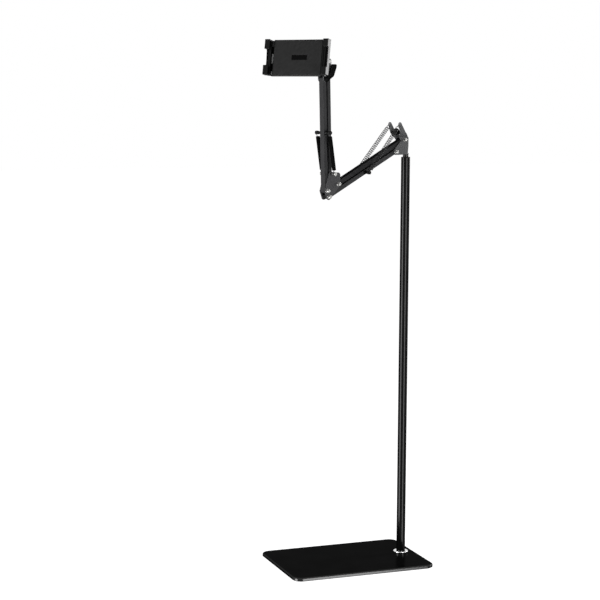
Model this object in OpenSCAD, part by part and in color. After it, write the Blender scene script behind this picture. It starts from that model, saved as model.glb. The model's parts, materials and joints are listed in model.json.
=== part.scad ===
// Adjustable tablet floor stand: slab base, two-piece pole, spring-balanced double arm
// of two parallel-bar linkages, ball joint and a sliding tablet clamp. Units are mm.
// World frame: X along the slab towards the pole, Z up, origin under the slab's centre.

/* [Base] */
// length of the slab along X
base_l = 370; // [300:1:420]
// width of the slab along Y
base_w = 258; // [200:1:300]
// thickness of the steel slab
base_t = 8; // [7:0.5:14]
// corner radius of the slab
base_r = 22; // [12:1:40]
// bevel along the slab's top edge
base_bevel = 2.2; // [1:0.1:3.5]
// thickness of the anti-slip pad
pad_t = 1.4; // [1:0.1:4]
// how far the pad stays inside the slab's outline
pad_inset = 3; // [1:0.5:8]
// distance of the pole's axis from the slab's end
pole_from_end = 37.5; // [28:0.5:70]
// radius of the chrome ring at the pole's foot
ring_r = 18.5; // [15:0.5:24]
// height of the chrome ring
ring_h = 6; // [3:0.5:10]
// shank radius of the base bolt
base_bolt_r = 5; // [3:0.5:6]

/* [Pole] */
// outer radius of the pole tubes
pole_r = 11; // [10:0.5:15]
// wall of the pole tubes
pole_wall = 1.5; // [1:0.1:2]
// length of each pole tube
tube_l = 500; // [300:10:700]
// length of the plugs in the tubes
plug_l = 30; // [20:1:50]
// height of the top bush's rim above the tube
bush_rim = 1.5; // [1:0.1:3]
// length of the top bush inside the tube
bush_l = 45; // [30:1:70]
// radius of the yoke pin in the bush
pin_r = 6; // [4:0.25:7]

/* [Arm bars] */
// lateral width of a bar
bar_w = 13; // [11:0.25:16]
// height of a bar in the arm plane
bar_h = 10.5; // [9:0.1:11]
// wall of a bar
bar_wall = 1.2; // [0.8:0.1:1.6]
// pivot to pivot length of the lower arm's bars
lower_l = 260; // [220:5:320]
// pivot to pivot length of the upper arm's bars
upper_l = 260; // [220:5:320]
// turn of the arm plane about the pole
arm_turn = 206; // [0:1:359]
// slope of the lower arm at rest
lower_slope = -22.5; // [-24:0.5:10]
// forward lean of the upper arm at rest
upper_lean = 1.9; // [0:0.1:40]
// radius of the pivot bolts
bolt_r = 2.5; // [2:0.1:2.8]
// depth of the end plugs in the bars
end_plug_l = 14; // [10:0.5:20]

/* [Brackets] */
// sheet thickness of the brackets and plates
sheet = 2; // [1.5:0.1:3]
// top pivot of the yoke, forward of the pole's axis
p1_u = 15.8; // [14:0.2:18]
// top pivot of the yoke, above the tube
p1_h = 43.9; // [42:0.2:48]
// lower pivot of the yoke, forward of its top pivot
short_u = 32.1; // [30:0.1:36]
// lower pivot of the yoke, below its top pivot
short_h = 28.6; // [27:0.1:30]
// spring hole in the ears, forward of the pole's axis
ear_u = 42; // [40:0.5:46]
// spring hole in the ears, above the tube
ear_h = 81.7; // [78:0.5:90]
// lateral middle of the flared ears
ear_v = 16; // [14.5:0.25:18]
// front pivot of the elbow, forward of its lowest pivot
c_du = 6.4; // [5:0.2:9]
// front pivot of the elbow, above its lowest pivot
c_dh = 13.7; // [12.5:0.1:16]
// rear pivot of the upper arm, behind its front pivot
a_du = 13.5; // [11.2:0.1:17]
// rear pivot of the upper arm, above its front pivot
a_dh = 40; // [36:0.5:46]

/* [Springs] */
// wire radius of the springs
wire_r = 0.8; // [0.4:0.05:0.9]
// mean coil radius of the bare springs
coil_r = 4.4; // [3.5:0.1:4.6]
// curls of each bare spring
lower_curls = 26; // [20:1:30]
// mean coil radius of the sleeved springs
inner_coil_r = 2.9; // [2.4:0.1:3]
// curls of each sleeved spring
upper_curls = 10; // [8:1:14]
// place of the lower peg along its bar
lower_peg_at = 121; // [100:1:150]
// place of the upper peg along its bar
upper_peg_at = 136; // [120:1:150]
// lateral place of the spring grooves on the pegs
groove_v = 19.5; // [18:0.25:22]
// outer radius of a spring peg
peg_r = 4.5; // [4.2:0.1:5.5]
// outer radius of the spring sleeves
sleeve_r = 4.75; // [4.5:0.05:5.4]
// bare length of spring at each end of a sleeve
sleeve_end = 9; // [8:0.5:14]

/* [Head] */
// ball centre forward of the wing screw
ball_du = 62.9; // [58:0.5:80]
// ball centre above the wing screw
ball_dh = 43; // [38:0.5:46]
// radius of the ball
ball_r = 8; // [7:0.25:9]
// wall of the nylon liner
liner_wall = 1.5; // [1:0.1:2]
// turn of the holder away from the arm plane at rest
pan_rest = 14; // [-20:1:20]
// backward tilt of the holder at rest
tilt_rest = 9.2; // [-12:0.2:14]
// length of the wing handle
wing_l = 31; // [20:1:34]

/* [Holder] */
// width of the clamp's body
holder_w = 127; // [115:1:150]
// height of the clamp's body
holder_h = 81.4; // [76:0.2:100]
// ball centre to the clamp's front face
holder_x = 32; // [31:0.5:40]
// depth of the clamp's body
shell_d = 18; // [17:0.5:18]
// wall of the clamp's body
shell_wall = 2; // [1.6:0.1:2.4]
// width of a jaw
jaw_w = 12; // [10:0.5:16]
// how far the left jaw is drawn out at rest
jaw_out = 7; // [6:0.5:20]
// width of the fixed right jaw
right_w = 19; // [16:0.5:24]
// tablet gap between the front face and the jaw lips
jaw_gap = 7; // [5:0.5:12]
// thickness of the jaw lips
lip_t = 4; // [2.5:0.5:6]
// reach of a lip over the tablet
lip_w = 10; // [6:0.5:11]
// height of the left jaw's hooks
hook_h = 22; // [16:1:24]
// height of the right jaw's hooks
right_hook_h = 18; // [14:1:24]
// thickness of the rubber pads
rubber_t = 1; // [0.6:0.1:1.6]
// thickness of the slide rails
rail_t = 4; // [3:0.25:5]
// length of the badge
badge_w = 40; // [25:1:50]
// height of the badge
badge_h = 11.5; // [8:0.5:16]

/* [Fits] */
// running clearance of a pin in its bore
run_fit = 0.05; // [0.02:0.01:0.09]
// clearance at the two open pivots
open_fit = 0.3; // [0.2:0.05:0.5]
// clearance between pieces that move past each other
gap = 0.35; // [0.3:0.05:0.45]
// clearance of pieces that are fixed together
seat = 0.05; // [0.02:0.01:0.1]

/* [Hidden] */
$fn = 48;

// stand
pole_x = base_l / 2 - pole_from_end;
base_top = pad_t + base_t;
seam_z = base_top + tube_l;
tube_top = seam_z + tube_l;
bore_r = pole_r - pole_wall;
bolt_rim = 3;
bolt_room = 0.5;
bolt_head_r = base_bolt_r + bolt_rim;
bolt_head_h = base_t / 2;
pad_room = 2;
thread_spare = 3;
stud_spare = 4;
bush_floor = 4;
ring_step = 1.2;
ring_dome = 3.4;
ring_lip = 1.4;
// how far joined shapes run into each other
fuse = 0.5;

// lateral stack of the brackets
in_v = bar_w / 2 + gap;
out_v = in_v + sheet;
head_v = 3.2;
washer_v = 1;
nut_v = 4;
collar_v = 1.2;
tip_v = 1.2;
nut_side = 2.1;
nut_r = bolt_r + nut_side;
washer_side = 2.5;
collar_side = 1.4;
washer_r = bolt_r + washer_side;
collar_r = bolt_r + collar_side;
lap = 0.2;

// pivots in the arm plane, as [forward, up]
slope_d = [cos(lower_slope), sin(lower_slope)];
lean_d = [sin(upper_lean), cos(upper_lean)];
upright = 90 - upper_lean;
P1 = [p1_u, p1_h];
P2 = P1 + [short_u, -short_h];
PB = P1 + lower_l * slope_d;
PD = P2 + lower_l * slope_d;
PC = PD + [c_du, c_dh];
PA = PC + [-a_du, a_dh];
HC = PC + upper_l * lean_d;
HA = PA + upper_l * lean_d;
EAR = [ear_u, ear_h];
LPEG = P2 + lower_peg_at * slope_d;
UPEG = PC + upper_peg_at * lean_d;
BALL = HC + [ball_du, ball_dh];

// yoke
eye_r = bolt_r + 5;
yoke_low = P2[1] - eye_r;
web_t = sheet + 0.5;
flare_low = P1[1] + bolt_r + 4;
flare_high = flare_low + 10;
ear_in = ear_v - sheet / 2;
ear_out = ear_v + sheet / 2;
root = P1 + [11.2, 11.1];
root_r = 9.5;
lug = P1 + [-13.3, 1.6];
lug_r = 4.5;
ear_r = 5.5;
ear_hole_r = 2.2;
buffer_at = P1 + [21.2, 20.1];
buffer_turn = -52;
buffer_l = 13;
buffer_w = 10;
strap_t = 3;
strap_short = 4;
strap_l = buffer_l - strap_short;
neck_out = 1.2;
heel = [4, 2];
heel_r = 2;
back = [5, -6];
back_r = 3;
top_rim = 1;
boss_rim = 1.8;
buffer_in = 1;
rivet_in = 2;
rivet_taper = 1.5;
rivet_h = 2;
side_reach = 40;
ear_room = 20;

// springs
hook_gap = 0.35;
groove_r = 2.8;
ear_loop = 3.8;
peg_loop = groove_r + wire_r + hook_gap;
bolt_loop = bolt_r + wire_r + hook_gap;
groove_half = wire_r + 1.2;
peg_end = groove_v + groove_half + 2.2;
hook_run = 7;
bend_r = 1.6;
peg_core = 2;
peg_lip = 0.6;
sleeve_room = 0.3;

// elbow
elbow_front = PA + [1.5, -2.5];
elbow_rear = PA + [-25, -5];
elbow_trim = 0.5;

// head
web_front = HC[0] + 17.4;
cheek_t = 2.5;
web_back = web_front - cheek_t;
web_depth = 8;
web_half = 10.5;
web_low = BALL[1] - web_half;
web_high = BALL[1] + web_half;
head_eye = eye_r - 1;
knee = HC + [0.5, 20];
stud_r = 4;
shank_r = 5;
neck_r = 3.2;
flange_v = 1;
barrel_r = bolt_r + 1.2;
hub_r = 6;
hub_l = 7.5;
hub_cap = 2;
// bars of the wing, as [forward, out, up, radius, width]
wing_bars = [[0, -1, 1, 3.5, 8], [-4, 6, 9, 4, 13], [-8, 11, wing_l, 3.2, 15]];
stud_tail = 9;
flange_rim = 4;
flange_t = 3;
neck_l = 4;
stud_nut_t = 6;
swing_l = 30;
mouth = 64;
liner_r = ball_r + run_fit;
liner_out = liner_r + liner_wall;
cup_r = liner_out + run_fit;
socket_wall = 3.35;
socket_r = cup_r + socket_wall;
ring_wall = 3;
ring_half = 5;
socket_floor = 0.8;
screw_rim = 3;
screw_head = 1.7;

// holder, in its own frame: X out of the front face, Y to the right jaw, Z up
shell_back = holder_x - shell_d;
shell_in = shell_back + shell_wall;
plate_t = 2;
ledge = holder_x - plate_t;
rim = 1.2;
plate_w = holder_w - 2 * rim - 2 * seat;
plate_h = holder_h - 2 * rim - 2 * seat;
half_w = holder_w / 2;
half_h = holder_h / 2;
spigot_in = 0.75;
spigot_r = cup_r - spigot_in;
rail_room = 2;
rail_x = ledge - rail_room - rail_t;
rail_in = 40;
mid_in = 6;
jaw_face = -half_w - jaw_out;
jaw_left = jaw_face - jaw_w;
jaw_right = half_w + right_w;
floor_t = 4;
jaw_floor = holder_x - floor_t;
root_w = 6;
root_back = 2;
jaw_wall = 3;
wall_back = holder_x - 3;
wall_front = holder_x + 1;
grip_wall = 2;
grip_back = rail_x - grip_wall;
grip_in = 4;
skirt_lap = 3;
skirt_w = jaw_out + skirt_lap;
waist = 1.6;
waist_end = 3;
rail_seat = 6;
lip_root = 1;
bead_r = 1.75;
bead_in = 2.75;
bead_pitch = 5.25;
left_bead_in = 4.7;
pocket_in = 10;
pocket_floor = 1.5;
pad_end = 2;
pad_low = 0.6;
pad_high = 0.4;
lip_back = holder_x + jaw_gap;
lip_front = lip_back + lip_t;
post_in = 11.5;
post_up = 18;
post_down = 22.5;
post = [for (y = [half_w - post_in, -half_w + post_in], z = [post_up, -post_down]) [y, z]];
post_r = 3;
screw_r = 1.4;
screw_depth = 8;
screw_spare = 1;
shell_head_rim = 1.4;
shell_head_t = 1.2;
return_r = 1.9;
return_bore = 1.2;
return_end = 1;
rails = [[27, 38], [-14, 9], [-38, -31]];
badge_y = 5;
badge_d = 0.8;
badge_sunk = 0.2;

// colours
steel = [0.78, 0.78, 0.76];
black = [0.05, 0.05, 0.05];
paint = [0.16, 0.16, 0.17];
rubber = [0.09, 0.09, 0.09];
nylon = [0.85, 0.84, 0.8];
sheet_c = [0.38, 0.38, 0.39];
plastic = [0.2, 0.2, 0.21];

// placing
module at_pole() {
  translate([pole_x, 0, 0]) children();
}
module in_arm() {
  translate([pole_x, 0, tube_top]) rotate([0, 0, arm_turn]) children();
}
module in_holder() {
  in_arm() translate([BALL[0], 0, BALL[1]]) rotate([0, 0, pan_rest]) rotate([0, -tilt_rest, 0]) children();
}
module on_pivot(p) {
  translate([p[0], 0, p[1]]) children();
}
// a cylinder along the arm's lateral axis, from v0 to v1
module cross(p, r, v0, v1, fn = 48) {
  translate([p[0], v1, p[1]]) rotate([90, 0, 0]) cylinder(r = r, h = v1 - v0, $fn = fn);
}
// an arm-plane outline drawn through the whole lateral width
module in_plane(v0, v1) {
  translate([0, v1, 0]) rotate([90, 0, 0]) linear_extrude(height = v1 - v0) children();
}

// stand
module round_slab(l, w, r, t) {
  translate([-l / 2 + r, -w / 2, 0]) cube([l - 2 * r, w, t]);
  translate([-l / 2, -w / 2 + r, 0]) cube([l, w - 2 * r, t]);
  for (x = [-1, 1], y = [-1, 1])
    translate([x * (l / 2 - r), y * (w / 2 - r), 0]) cylinder(r = r, h = t, $fn = 64);
}
// prism along X whose top narrows by the bevel on both sides
module bevel_prism(l, w) {
  t0 = base_t - base_bevel;
  rotate([90, 0, 90]) translate([0, 0, -l / 2]) linear_extrude(height = l)
    polygon([[-w / 2, t0], [w / 2, t0], [w / 2 - base_bevel, base_t], [-w / 2 + base_bevel, base_t]]);
}
module base_plate() {
  t0 = base_t - base_bevel;
  color(black) translate([0, 0, pad_t]) difference() {
    union() {
      round_slab(base_l, base_w, base_r, t0);
      bevel_prism(base_l - 2 * base_r, base_w);
      rotate([0, 0, 90]) bevel_prism(base_w - 2 * base_r, base_l);
      for (x = [-1, 1], y = [-1, 1])
        translate([x * (base_l / 2 - base_r), y * (base_w / 2 - base_r), t0])
          cylinder(r1 = base_r, r2 = base_r - base_bevel, h = base_bevel, $fn = 64);
    }
    at_pole() translate([0, 0, -1]) cylinder(r = base_bolt_r + seat, h = base_t + 2);
    at_pole() translate([0, 0, -1]) cylinder(r = bolt_head_r + bolt_room, h = bolt_head_h + 1);
  }
}
module base_pad() {
  color(rubber) difference() {
    round_slab(base_l - 2 * pad_inset, base_w - 2 * pad_inset, base_r - pad_inset, pad_t);
    at_pole() translate([0, 0, -1]) cylinder(r = bolt_head_r + pad_room, h = pad_t + 2);
  }
}
module foot_ring() {
  color(steel) at_pole() translate([0, 0, base_top]) rotate_extrude($fn = 64)
    polygon([[pole_r + seat, 0], [ring_r, 0], [ring_r, ring_h * 0.25], [ring_r - ring_step, ring_h * 0.6],
      [ring_r - ring_dome, ring_h * 0.87], [pole_r + ring_lip, ring_h], [pole_r + seat, ring_h]]);
}
module base_bolt() {
  color(steel) at_pole() translate([0, 0, pad_t]) {
    cylinder(r = bolt_head_r, h = bolt_head_h, $fn = 6);
    translate([0, 0, bolt_head_h - fuse])
      cylinder(r = base_bolt_r, h = base_t - bolt_head_h + plug_l - thread_spare);
  }
}
module tube_plug(z, screw) {
  at_pole() translate([0, 0, z]) difference() {
    cylinder(r = bore_r - seat, h = plug_l);
    translate([0, 0, -1]) cylinder(r = screw + seat, h = plug_l + 2);
  }
}
module tube(z) {
  at_pole() translate([0, 0, z]) difference() {
    cylinder(r = pole_r, h = tube_l, $fn = 64);
    translate([0, 0, -1]) cylinder(r = bore_r, h = tube_l + 2, $fn = 64);
  }
}
module foot_insert() {
  color(steel) tube_plug(base_top, base_bolt_r);
}
module pole_lower() {
  color(black) tube(base_top);
}
module joint_plug_lower() {
  color(steel) tube_plug(seam_z - plug_l, base_bolt_r);
}
module joint_stud() {
  color(steel) at_pole() translate([0, 0, seam_z - plug_l + stud_spare])
    cylinder(r = base_bolt_r, h = 2 * (plug_l - stud_spare));
}
module joint_plug_upper() {
  color(steel) tube_plug(seam_z, base_bolt_r);
}
module pole_upper() {
  color(black) tube(seam_z);
}
module top_bush() {
  color(rubber) at_pole() translate([0, 0, tube_top]) difference() {
    union() {
      translate([0, 0, -bush_l]) cylinder(r = bore_r - seat, h = bush_l + fuse);
      cylinder(r = pole_r, h = bush_rim);
    }
    translate([0, 0, -bush_l + bush_floor]) cylinder(r = pin_r + run_fit, h = bush_l + bush_rim);
  }
}

// yoke
module yoke_pin() {
  low = bush_rim + gap;
  color(steel) in_arm() {
    translate([0, 0, -bush_l + bush_floor + gap]) cylinder(r = pin_r, h = bush_l - bush_floor + low);
    translate([0, 0, low]) cylinder(r = pin_r + neck_out, h = yoke_low - low);
    translate([0, 0, yoke_low - fuse]) cylinder(r = pin_r - rivet_in, h = web_t + fuse);
    translate([0, 0, yoke_low + web_t]) cylinder(r1 = pin_r, r2 = pin_r - rivet_taper, h = rivet_h);
  }
}
module yoke_outline() {
  hull() {
    translate(P2) circle(r = eye_r, $fn = 32);
    translate([heel[0], yoke_low + heel[1]]) circle(r = heel_r, $fn = 32);
    translate([back[0], P1[1] + back[1]]) circle(r = back_r, $fn = 32);
    translate(P1) circle(r = eye_r + top_rim, $fn = 32);
    translate(lug) circle(r = lug_r, $fn = 32);
  }
  hull() {
    translate(P1) circle(r = eye_r + top_rim, $fn = 32);
    translate(lug) circle(r = lug_r, $fn = 32);
    translate(root) circle(r = root_r, $fn = 32);
  }
  hull() {
    translate(root) circle(r = root_r, $fn = 32);
    translate(EAR) circle(r = ear_r, $fn = 32);
  }
}
// lateral profile of one side: flat below, flared outwards to the ear
module yoke_side(s) {
  rotate([90, 0, 90]) linear_extrude(height = P2[0] + side_reach)
    polygon([[s * in_v, 0], [s * out_v, 0], [s * out_v, flare_low], [s * ear_out, flare_high],
      [s * ear_out, EAR[1] + ear_room], [s * ear_in, EAR[1] + ear_room], [s * ear_in, flare_high],
      [s * in_v, flare_low]]);
}
module yoke_bracket() {
  color(sheet_c) in_arm() difference() {
    union() {
      intersection() {
        in_plane(-ear_out - 1, ear_out + 1) yoke_outline();
        union() {
          yoke_side(1);
          yoke_side(-1);
        }
      }
      translate([0, -in_v - sheet / 2, yoke_low]) cube([P2[0] - eye_r - 1, 2 * in_v + sheet, web_t]);
      translate([0, 0, yoke_low]) cylinder(r = pin_r + boss_rim, h = web_t);
      on_pivot(buffer_at) rotate([0, -buffer_turn, 0])
        translate([-buffer_l / 2, -ear_v, -buffer_w / 2 - strap_t]) cube([strap_l, 2 * ear_v, strap_t]);
    }
    cross(P1, bolt_r + seat, -out_v - 1, out_v + 1);
    cross(P2, bolt_r + seat, -out_v - 1, out_v + 1);
    cross(EAR, ear_hole_r, -ear_out - 1, ear_out + 1);
    translate([0, 0, yoke_low - 1]) cylinder(r = pin_r - rivet_in + seat, h = web_t + 2);
  }
}
module yoke_buffer() {
  color(rubber) in_arm() on_pivot(buffer_at) rotate([0, -buffer_turn, 0])
    translate([-buffer_l / 2, -in_v + buffer_in, -buffer_w / 2])
      cube([buffer_l, 2 * (in_v - buffer_in), buffer_w]);
}
// bolt with a hex head on the far side
module pivot_bolt(p) {
  cross(p, nut_r, -out_v - head_v, -out_v, 6);
  cross(p, bolt_r, -out_v - head_v / 2, out_v + washer_v + nut_v + collar_v + tip_v);
}
// washer and lock nut on the near side, with the nut's round collar
module pivot_nut(p) {
  face = out_v + washer_v;
  difference() {
    union() {
      cross(p, washer_r, out_v, face);
      cross(p, nut_r, face - lap, face + nut_v, 6);
      cross(p, collar_r, face + nut_v - lap, face + nut_v + collar_v);
    }
    cross(p, bolt_r + seat, out_v - 1, face + nut_v + collar_v + 1);
  }
}
module yoke_bolts() {
  color(steel) in_arm() {
    pivot_bolt(P1);
    pivot_bolt(P2);
  }
}
module yoke_nuts() {
  color(steel) in_arm() {
    pivot_nut(P1);
    pivot_nut(P2);
  }
}

// springs: one unbroken wire each, from hook to hook
function unit(a) = a / norm(a);
function arm_pt(p, v) = [p[0], v, p[1]];
// hook loop about c, from its open end to the side e; d points to the coil
function hook(c, d, e, r) = let (f = 340, t = [-sin(f), cos(f)])
  concat([c + r * (cos(f) * d + sin(f) * e) + 2 * wire_r * (t[0] * d + t[1] * e)],
    [for (k = [0 : 10]) let (q = f - 25 * k) c + r * (cos(q) * d + sin(q) * e)]);
// quarter bend from the straight run into the coil, laid on the coil's cylinder
function bend(c, d, e, f, s, r) = let (b = bend_r)
  [for (k = [0 : 2]) let (q = 45 * k, w = b * (1 - cos(q)) / r * 180 / PI)
    c + d * (s - b + b * sin(q)) + r * (cos(w) * e + sin(w) * f)];
function wire_path(c0, e0, r0, c1, e1, r1, r, curls) =
  let (
    d = unit(c1 - c0),
    len = norm(c1 - c0),
    e = unit(e0 - (e0 * d) * d),
    f = cross(d, e),
    g = unit(e1 - (e1 * d) * d),
    part = atan2(g * f, g * e),
    full = 360 * curls + part,
    s0 = hook_run,
    s1 = len - hook_run,
    w = bend_r / r * 180 / PI,
    n = round(curls * 8 + part / 45),
    coil = [for (k = [1 : n - 1]) let (q = w + (full - 2 * w) * k / n)
      c0 + d * (s0 + (s1 - s0) * k / n) + r * (cos(q) * e + sin(q) * f)],
    far = bend(c1, -d, g, cross(-d, g), hook_run, r),
    end = hook(c1, -d, g, r1))
  concat(hook(c0, d, e, r0), bend(c0, d, e, f, s0, r), coil,
    [for (k = [len(far) - 1 : -1 : 0]) far[k]], [for (k = [len(end) - 1 : -1 : 0]) end[k]]);
function tangents(p) = [for (i = [0 : len(p) - 1])
  unit(p[min(i + 1, len(p) - 1)] - p[max(i - 1, 0)])];
function drop(a, t) = unit(a - (a * t) * t);
function any_side(t) = drop(abs(t[1]) < 0.8 ? [0, 1, 0] : [1, 0, 0], t);
function normals(t) = [for (i = 0, a = any_side(t[0]); i < len(t); i = i + 1,
  a = drop(a, t[min(i, len(t) - 1)])) a];
module wire(p) {
  t = tangents(p);
  a = normals(t);
  m = len(p);
  pts = [for (i = [0 : m - 1], k = [0 : 5])
    p[i] + wire_r * (cos(60 * k) * a[i] + sin(60 * k) * cross(t[i], a[i]))];
  side = [for (i = [0 : m - 2], k = [0 : 5], h = [0, 1]) let (j = (k + 1) % 6)
    h == 0 ? [6 * i + k, 6 * i + 6 + k, 6 * i + 6 + j] : [6 * i + k, 6 * i + 6 + j, 6 * i + j]];
  caps = concat([for (k = [1 : 4]) [0, k, k + 1]],
    [for (k = [1 : 4]) let (b = 6 * (m - 1)) [b, b + k + 1, b + k]]);
  polyhedron(points = pts, faces = concat(side, caps), convexity = 10);
}
// least gap of a wire to itself, between points more than half a turn apart
function least_gap(p) =
  min([for (i = [0 : len(p) - 7], j = [i + 6 : len(p) - 1]) norm(p[i] - p[j])]) - 2 * wire_r;
function lower_wire(s) = let (
    a = arm_pt(EAR, s * ear_v),
    b = arm_pt(LPEG, s * groove_v),
    c = a + ear_loop * unit(b - a))
  wire_path(c, [0, s, 0], ear_loop, b, cross([0, 1, 0], b - a), peg_loop, coil_r, lower_curls);
function upper_wire(s) = let (a = arm_pt(PA, s * groove_v), b = arm_pt(UPEG, s * groove_v))
  wire_path(a, cross([0, 1, 0], b - a), bolt_loop, b, cross([0, 1, 0], b - a), peg_loop,
    inner_coil_r, upper_curls);
module lower_spring_near() {
  color(steel) in_arm() wire(lower_wire(1));
}
module lower_spring_far() {
  color(steel) in_arm() wire(lower_wire(-1));
}
module upper_spring_near() {
  color(steel) in_arm() wire(upper_wire(1));
}
module upper_spring_far() {
  color(steel) in_arm() wire(upper_wire(-1));
}
module spring_sleeves() {
  d = UPEG - PA;
  len = norm(d);
  color(rubber) in_arm() for (s = [-1, 1])
    translate([PA[0], s * groove_v, PA[1]]) rotate([0, atan2(d[0], d[1]), 0])
      translate([0, 0, sleeve_end]) difference() {
        cylinder(r = sleeve_r, h = len - 2 * sleeve_end);
        translate([0, 0, -1]) cylinder(r = inner_coil_r + wire_r + sleeve_room, h = len);
      }
}

// bars
module bar(p, turn, l, fit0, fit1) {
  on_pivot(p) rotate([0, -turn, 0]) difference() {
    union() {
      translate([0, -bar_w / 2, -bar_h / 2]) cube([l, bar_w, bar_h]);
      cross([0, 0], bar_h / 2, -bar_w / 2, bar_w / 2);
      cross([l, 0], bar_h / 2, -bar_w / 2, bar_w / 2);
    }
    translate([-bar_h, -bar_w / 2 + bar_wall, -bar_h / 2 + bar_wall])
      cube([l + 2 * bar_h, bar_w - 2 * bar_wall, bar_h - 2 * bar_wall]);
    cross([0, 0], bolt_r + fit0, -bar_w, bar_w);
    cross([l, 0], bolt_r + fit1, -bar_w, bar_w);
    children();
  }
}
module end_plug(fit) {
  w = bar_w / 2 - bar_wall - seat;
  h = bar_h / 2 - bar_wall - seat;
  difference() {
    union() {
      translate([0, -w, -h]) cube([end_plug_l, 2 * w, 2 * h]);
      intersection() {
        cross([0, 0], bar_h / 2, -w, w);
        translate([-bar_h, -w, -h]) cube([bar_h + 1, 2 * w, 2 * h]);
      }
    }
    cross([0, 0], bolt_r + fit, -bar_w, bar_w);
  }
}
module end_plugs(p, turn, l, fit0, fit1) {
  on_pivot(p) rotate([0, -turn, 0]) {
    end_plug(fit0);
    translate([l, 0, 0]) rotate([0, 0, 180]) end_plug(fit1);
  }
}
module peg(p) {
  on_pivot(p) {
    cross([0, 0], peg_core, -bar_w / 2 - 1, bar_w / 2 + 1);
    for (s = [-1, 1]) rotate([0, 0, s > 0 ? 0 : 180]) rotate([-90, 0, 0]) rotate_extrude($fn = 32)
      polygon([[0, bar_w / 2], [peg_r, bar_w / 2], [peg_r, bar_w / 2 + 2],
        [groove_r + peg_lip, bar_w / 2 + 4],
        [groove_r + peg_lip, groove_v - groove_half - 2], [peg_r, groove_v - groove_half - 1],
        [groove_r, groove_v - groove_half], [groove_r, groove_v + groove_half],
        [peg_r, groove_v + groove_half + 0.8], [peg_r, peg_end], [0, peg_end]]);
  }
}
module lower_bar() {
  color(paint) in_arm() bar(P2, lower_slope, lower_l, run_fit, run_fit)
    cross([lower_peg_at, 0], peg_core + seat, -bar_w, bar_w);
}
module lower_bar_plugs() {
  color(black) in_arm() end_plugs(P2, lower_slope, lower_l, run_fit, run_fit);
}
module lower_peg() {
  color(black) in_arm() peg(LPEG);
}
module top_bar() {
  color(paint) in_arm() bar(P1, lower_slope, lower_l, run_fit, open_fit);
}
module top_bar_plugs() {
  color(black) in_arm() end_plugs(P1, lower_slope, lower_l, run_fit, open_fit);
}
module front_bar() {
  color(paint) in_arm() bar(PC, upright, upper_l, run_fit, run_fit)
    cross([upper_peg_at, 0], peg_core + seat, -bar_w, bar_w);
}
module front_bar_plugs() {
  color(black) in_arm() end_plugs(PC, upright, upper_l, run_fit, run_fit);
}
module upper_peg() {
  color(black) in_arm() peg(UPEG);
}
module rear_bar() {
  color(paint) in_arm() bar(PA, upright, upper_l, run_fit, open_fit);
}
module rear_bar_plugs() {
  color(black) in_arm() end_plugs(PA, upright, upper_l, run_fit, open_fit);
}

// elbow
module elbow_plate(v) {
  difference() {
    in_plane(v, v + sheet) hull() {
      translate(elbow_front) circle(r = eye_r, $fn = 32);
      translate(elbow_rear) circle(r = eye_r, $fn = 32);
      translate(PB) circle(r = eye_r, $fn = 32);
      translate(PD) circle(r = eye_r, $fn = 32);
      translate(PC) circle(r = eye_r - elbow_trim, $fn = 32);
    }
    for (p = [PA, PB, PC, PD]) cross(p, bolt_r + seat, v - 1, v + sheet + 1);
  }
}
module elbow_plate_near() {
  color(sheet_c) in_arm() elbow_plate(in_v);
}
module elbow_plate_far() {
  color(sheet_c) in_arm() elbow_plate(-out_v);
}
module elbow_bolts() {
  color(steel) in_arm() {
    pivot_bolt(PB);
    pivot_bolt(PC);
    pivot_bolt(PD);
  }
}
module elbow_nuts() {
  color(steel) in_arm() {
    pivot_nut(PB);
    pivot_nut(PC);
    pivot_nut(PD);
  }
}
module elbow_long_bolt() {
  color(steel) in_arm() {
    cross(PA, bolt_r, -peg_end + 1, peg_end - 1);
    cross(PA, nut_r, groove_v + groove_half, peg_end);
    cross(PA, nut_r, -peg_end, -groove_v - groove_half);
  }
}

// head
module head_bracket() {
  color(sheet_c) in_arm() difference() {
    in_plane(-out_v, out_v) {
      hull() {
        translate(HC) circle(r = head_eye, $fn = 32);
        translate(HA) circle(r = eye_r, $fn = 32);
        translate(knee) circle(r = eye_r, $fn = 32);
      }
      hull() {
        translate(HA) circle(r = eye_r, $fn = 32);
        translate(knee) circle(r = eye_r, $fn = 32);
        translate([web_front - web_depth, web_low]) square([web_depth, web_high - web_low]);
      }
    }
    translate([HA[0] - 2 * eye_r, -in_v, HC[1] - 2 * eye_r])
      cube([web_back - HA[0] + 2 * eye_r, 2 * in_v, web_high - HC[1] + 4 * eye_r]);
    cross(HC, bolt_r + run_fit, 0, out_v + 1);
    cross(HC, barrel_r + seat, -out_v - 1, 0);
    cross(HA, bolt_r + seat, -out_v - 1, out_v + 1);
    translate([web_back - 1, 0, BALL[1]]) rotate([0, 90, 0]) cylinder(r = stud_r + seat, h = 10);
  }
}
module head_bolt() {
  color(steel) in_arm() mirror([0, 1, 0]) pivot_bolt(HA);
}
module head_nut() {
  color(steel) in_arm() mirror([0, 1, 0]) pivot_nut(HA);
}
// rivet nut in the far cheek: a flange outside and a barrel through the sheet
module wing_nut() {
  color(black) in_arm() difference() {
    union() {
      cross(HC, nut_r, -out_v - flange_v, -out_v);
      cross(HC, barrel_r, -out_v - flange_v / 2, -in_v);
    }
    cross(HC, bolt_r + run_fit, -out_v - flange_v - 1, -in_v + 1);
  }
}
module wing_stud() {
  color(steel) in_arm() cross(HC, bolt_r, -out_v - flange_v, out_v + gap + hub_l - hub_cap);
}
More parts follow.
